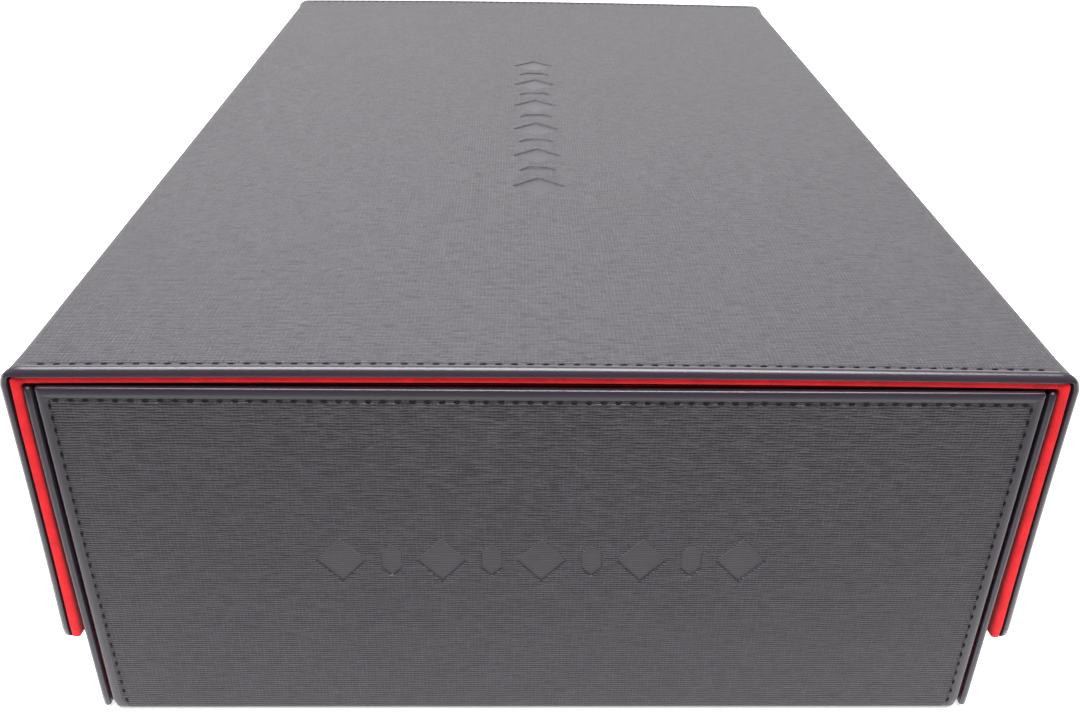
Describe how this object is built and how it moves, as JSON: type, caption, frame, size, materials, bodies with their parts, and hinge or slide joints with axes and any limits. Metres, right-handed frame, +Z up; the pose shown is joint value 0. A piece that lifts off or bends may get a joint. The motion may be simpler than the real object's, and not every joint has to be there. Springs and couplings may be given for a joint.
{
  "type": "card deck box",
  "caption": "Leatherette-covered board storage box for trading cards with a lift-off magnetic lid, folding lid flaps, a drop front, trays and dividers.",
  "frame": {"origin": "on the floor, under the centre of the box's footprint", "axes": "+X to the box's right seen from the front, +Y from the front panel to the rear wall, +Z up"},
  "size_m": [0.2546, 0.4, 0.1117],
  "materials": {
    "leatherette": "linen-embossed PU leatherette, semi-gloss, dark grey",
    "red_microfibre": "short-napped red microfibre",
    "grey_board": "raw grey bookbinding board",
    "tray_board": "black paper-covered board",
    "divider_plastic": "matt black polypropylene sheet",
    "thread": "black bonded polyester thread",
    "magnet": "bright nickel plating",
    "steel": "zinc-plated steel"
  },
  "bodies": {
    "box_body": {"base_board": "grey_board", "base_cover": "leatherette", "floor_lining": "red_microfibre", "back_board": "grey_board", "back_cover": "leatherette", "back_liner_board": "grey_board", "back_lining": "red_microfibre", "left_wall_board": "grey_board", "left_wall_cover": "leatherette", "left_wall_steel_discs": "steel", "left_liner_board": "grey_board", "left_wall_lining": "red_microfibre", "left_catch_strip": "steel", "right_wall_board": "grey_board", "right_wall_cover": "leatherette", "right_wall_steel_discs": "steel", "right_liner_board": "grey_board", "right_wall_lining": "red_microfibre", "right_catch_strip": "steel"},
    "lid": {"lid_top_board": "grey_board", "lid_top_cover": "leatherette", "lid_stitching": "thread", "lid_liner_board": "grey_board", "lid_lining": "red_microfibre", "lid_fold_left": "leatherette", "lid_lining_fold_left": "red_microfibre", "lid_fold_right": "leatherette", "lid_lining_fold_right": "red_microfibre"},
    "left_flap": {"left_flap_board": "grey_board", "left_flap_cover": "leatherette", "left_flap_liner_board": "grey_board", "left_flap_lining": "red_microfibre", "left_flap_magnets": "magnet"},
    "right_flap": {"right_flap_board": "grey_board", "right_flap_cover": "leatherette", "right_flap_liner_board": "grey_board", "right_flap_lining": "red_microfibre", "right_flap_magnets": "magnet"},
    "front_flap": {"front_flap_board": "grey_board", "front_flap_cover": "leatherette", "front_flap_lining": "red_microfibre", "front_flap_stitching": "thread", "front_flap_magnets": "magnet", "front_hinge_fold": "leatherette"},
    "tray_left": {"tray_left_boards": "tray_board", "tray_left_pad": "red_microfibre"},
    "divider_left_1": {"divider_left_1": "divider_plastic"},
    "divider_left_2": {"divider_left_2": "divider_plastic"},
    "tray_middle": {"tray_middle_boards": "tray_board", "tray_middle_pad": "red_microfibre"},
    "divider_middle_1": {"divider_middle_1": "divider_plastic"},
    "divider_middle_2": {"divider_middle_2": "divider_plastic"},
    "tray_right": {"tray_right_boards": "tray_board", "tray_right_pad": "red_microfibre"},
    "divider_right_1": {"divider_right_1": "divider_plastic"},
    "divider_right_2": {"divider_right_2": "divider_plastic"}
  },
  "joints": [
    {"name": "lid_lift", "type": "slide", "parent": "box_body", "child": "lid", "axis": [0, 0, 1], "range_m": [0, 0.23]},
    {"name": "left_flap_hinge", "type": "hinge", "parent": "lid", "child": "left_flap", "pos_m": [-0.1253, 0, 0.1097], "axis": [0, 1, 0], "range_deg": [0, 90], "deforming": ["lid_fold_left", "lid_lining_fold_left"]},
    {"name": "right_flap_hinge", "type": "hinge", "parent": "lid", "child": "right_flap", "pos_m": [0.1253, 0, 0.1097], "axis": [0, -1, 0], "range_deg": [0, 90], "deforming": ["lid_fold_right", "lid_lining_fold_right"]},
    {"name": "front_flap_hinge", "type": "hinge", "parent": "box_body", "child": "front_flap", "pos_m": [0, -0.1993, 0.0007], "axis": [1, 0, 0], "range_deg": [0, 90], "deforming": ["front_hinge_fold"]},
    {"name": "tray_left_lift", "type": "slide", "parent": "box_body", "child": "tray_left", "axis": [0, 0, 1], "range_m": [0, 0.115]},
    {"name": "tray_middle_lift", "type": "slide", "parent": "box_body", "child": "tray_middle", "axis": [0, 0, 1], "range_m": [0, 0.115]},
    {"name": "tray_right_lift", "type": "slide", "parent": "box_body", "child": "tray_right", "axis": [0, 0, 1], "range_m": [0, 0.115]},
    {"name": "divider_left_1_slide", "type": "slide", "parent": "tray_left", "child": "divider_left_1", "axis": [0, 1, 0], "range_m": [-0.05, 0.05]},
    {"name": "divider_left_2_slide", "type": "slide", "parent": "tray_left", "child": "divider_left_2", "axis": [0, 1, 0], "range_m": [-0.05, 0.05]},
    {"name": "divider_middle_1_slide", "type": "slide", "parent": "tray_middle", "child": "divider_middle_1", "axis": [0, 1, 0], "range_m": [-0.05, 0.05]},
    {"name": "divider_middle_2_slide", "type": "slide", "parent": "tray_middle", "child": "divider_middle_2", "axis": [0, 1, 0], "range_m": [-0.05, 0.05]},
    {"name": "divider_right_1_slide", "type": "slide", "parent": "tray_right", "child": "divider_right_1", "axis": [0, 1, 0], "range_m": [-0.05, 0.05]},
    {"name": "divider_right_2_slide", "type": "slide", "parent": "tray_right", "child": "divider_right_2", "axis": [0, 1, 0], "range_m": [-0.05, 0.05]}
  ],
  "couplings": [
    {"joint": "tray_left_lift", "follows": "lid_lift", "ratio": 0.5},
    {"joint": "tray_middle_lift", "follows": "lid_lift", "ratio": 0.5},
    {"joint": "tray_right_lift", "follows": "lid_lift", "ratio": 0.5}
  ]
}
